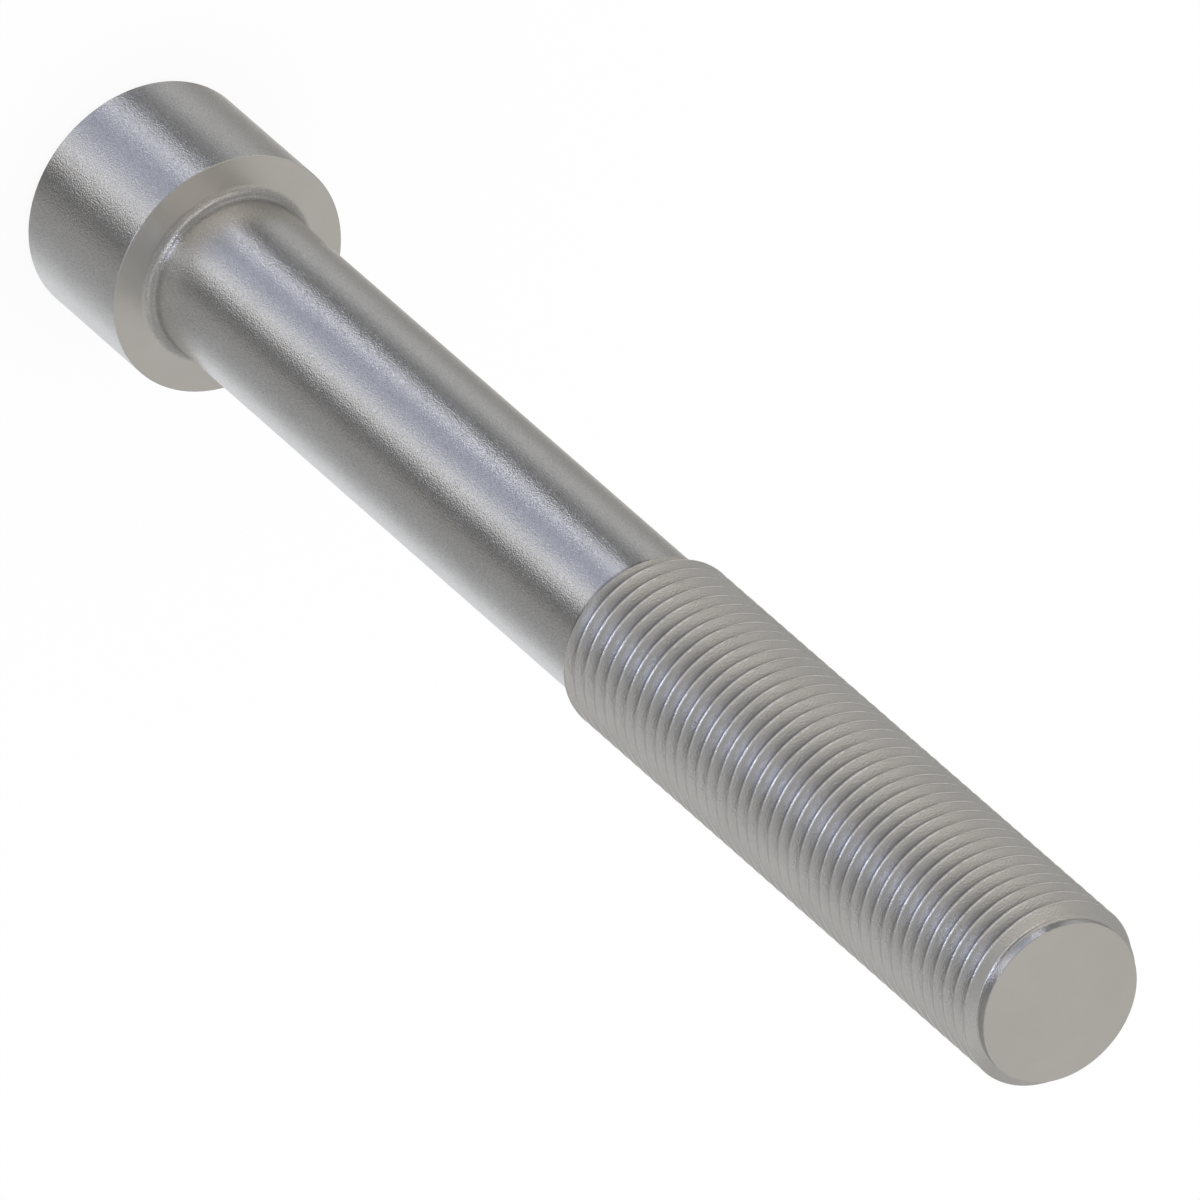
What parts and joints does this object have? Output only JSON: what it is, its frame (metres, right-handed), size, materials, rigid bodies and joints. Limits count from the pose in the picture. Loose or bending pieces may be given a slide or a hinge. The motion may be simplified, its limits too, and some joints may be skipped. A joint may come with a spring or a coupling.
{
  "type": "socket head cap screw",
  "caption": "Long steel cap screw with a plain cylindrical head, a hexagon socket, a smooth shank and a fine thread over half its length.",
  "frame": {"origin": "centre of the bearing face under the head, on the screw's axis", "axes": "+Z along the shank towards the tip, so the screw stands on its head; +X through a corner of the hexagon socket"},
  "size_m": [0.018, 0.018, 0.122],
  "materials": {
    "steel": "satin, bead-blasted bare steel"
  },
  "bodies": {
    "root": {"screw": "steel"}
  },
  "joints": []
}
